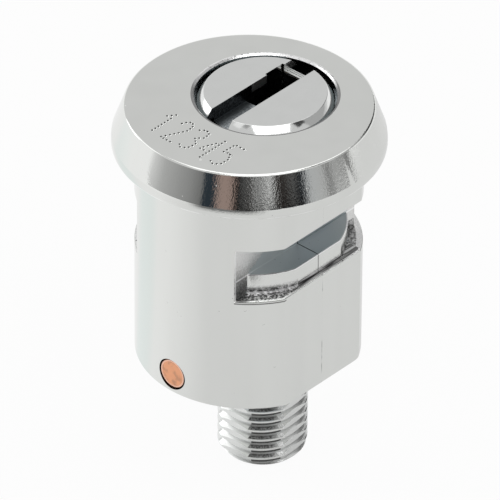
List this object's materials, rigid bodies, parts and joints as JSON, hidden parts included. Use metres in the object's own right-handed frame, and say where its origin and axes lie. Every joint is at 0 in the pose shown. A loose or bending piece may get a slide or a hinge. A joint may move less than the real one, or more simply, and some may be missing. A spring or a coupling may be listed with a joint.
{
  "type": "keyed cam lock",
  "caption": "Round keyed cam lock, bright plated, with clip grooves in two flats, a slotted plug and a threaded tail that turns.",
  "frame": {"origin": "on the axis of the round housing, level with the end of the threaded tail", "axes": "+Z along the lock's axis towards its face; +X from the housing's axis towards the plug's axis, along the keyway; +Y square to the body's flats"},
  "size_m": [0.024, 0.024, 0.0375],
  "materials": {
    "housing_plate": "polished",
    "plug_plate": "satin",
    "copper": "satin",
    "pin_brass": "satin",
    "spring_steel": "satin"
  },
  "bodies": {
    "housing": {"housing": "housing_plate", "retaining_pin": "copper", "pin_spring_1": "spring_steel", "pin_spring_2": "spring_steel", "pin_spring_3": "spring_steel", "pin_spring_4": "spring_steel", "pin_spring_5": "spring_steel", "pin_spring_6": "spring_steel"},
    "plug": {"plug": "plug_plate"},
    "key_pin_1": {"key_pin_1": "pin_brass"},
    "driver_pin_1": {"driver_pin_1": "pin_brass"},
    "key_pin_2": {"key_pin_2": "pin_brass"},
    "driver_pin_2": {"driver_pin_2": "pin_brass"},
    "key_pin_3": {"key_pin_3": "pin_brass"},
    "driver_pin_3": {"driver_pin_3": "pin_brass"},
    "key_pin_4": {"key_pin_4": "pin_brass"},
    "driver_pin_4": {"driver_pin_4": "pin_brass"},
    "key_pin_5": {"key_pin_5": "pin_brass"},
    "driver_pin_5": {"driver_pin_5": "pin_brass"},
    "key_pin_6": {"key_pin_6": "pin_brass"},
    "driver_pin_6": {"driver_pin_6": "pin_brass"}
  },
  "joints": [
    {"name": "plug_turn", "type": "hinge", "parent": "housing", "child": "plug", "pos_m": [0.00205, 0, 0.03725], "axis": [0, 0, -1], "range_deg": [0, 90]},
    {"name": "driver_slide_1", "type": "slide", "parent": "housing", "child": "driver_pin_1", "axis": [-1, 0, 0], "range_m": [-0.0008, 0], "stiffness_N_per_m": 60, "springref_m": -0.003, "deforming": ["pin_spring_1"]},
    {"name": "driver_slide_2", "type": "slide", "parent": "housing", "child": "driver_pin_2", "axis": [-1, 0, 0], "range_m": [-0.0014, 0], "stiffness_N_per_m": 60, "springref_m": -0.003, "deforming": ["pin_spring_2"]},
    {"name": "driver_slide_3", "type": "slide", "parent": "housing", "child": "driver_pin_3", "axis": [-1, 0, 0], "range_m": [-0.0005, 0], "stiffness_N_per_m": 60, "springref_m": -0.003, "deforming": ["pin_spring_3"]},
    {"name": "driver_slide_4", "type": "slide", "parent": "housing", "child": "driver_pin_4", "axis": [-1, 0, 0], "range_m": [-0.0017, 0], "stiffness_N_per_m": 60, "springref_m": -0.003, "deforming": ["pin_spring_4"]},
    {"name": "driver_slide_5", "type": "slide", "parent": "housing", "child": "driver_pin_5", "axis": [-1, 0, 0], "range_m": [-0.0011, 0], "stiffness_N_per_m": 60, "springref_m": -0.003, "deforming": ["pin_spring_5"]},
    {"name": "driver_slide_6", "type": "slide", "parent": "housing", "child": "driver_pin_6", "axis": [-1, 0, 0], "range_m": [-0.0014, 0], "stiffness_N_per_m": 60, "springref_m": -0.003, "deforming": ["pin_spring_6"]},
    {"name": "key_pin_slide_1", "type": "slide", "parent": "plug", "child": "key_pin_1", "axis": [-1, 0, 0], "range_m": [-0.0008, 0]},
    {"name": "key_pin_slide_2", "type": "slide", "parent": "plug", "child": "key_pin_2", "axis": [-1, 0, 0], "range_m": [-0.0014, 0]},
    {"name": "key_pin_slide_3", "type": "slide", "parent": "plug", "child": "key_pin_3", "axis": [-1, 0, 0], "range_m": [-0.0005, 0]},
    {"name": "key_pin_slide_4", "type": "slide", "parent": "plug", "child": "key_pin_4", "axis": [-1, 0, 0], "range_m": [-0.0017, 0]},
    {"name": "key_pin_slide_5", "type": "slide", "parent": "plug", "child": "key_pin_5", "axis": [-1, 0, 0], "range_m": [-0.0011, 0]},
    {"name": "key_pin_slide_6", "type": "slide", "parent": "plug", "child": "key_pin_6", "axis": [-1, 0, 0], "range_m": [-0.0014, 0]}
  ],
  "couplings": [
    {"joint": "key_pin_slide_1", "follows": "driver_slide_1", "ratio": 1},
    {"joint": "key_pin_slide_2", "follows": "driver_slide_2", "ratio": 1},
    {"joint": "key_pin_slide_3", "follows": "driver_slide_3", "ratio": 1},
    {"joint": "key_pin_slide_4", "follows": "driver_slide_4", "ratio": 1},
    {"joint": "key_pin_slide_5", "follows": "driver_slide_5", "ratio": 1},
    {"joint": "key_pin_slide_6", "follows": "driver_slide_6", "ratio": 1}
  ]
}
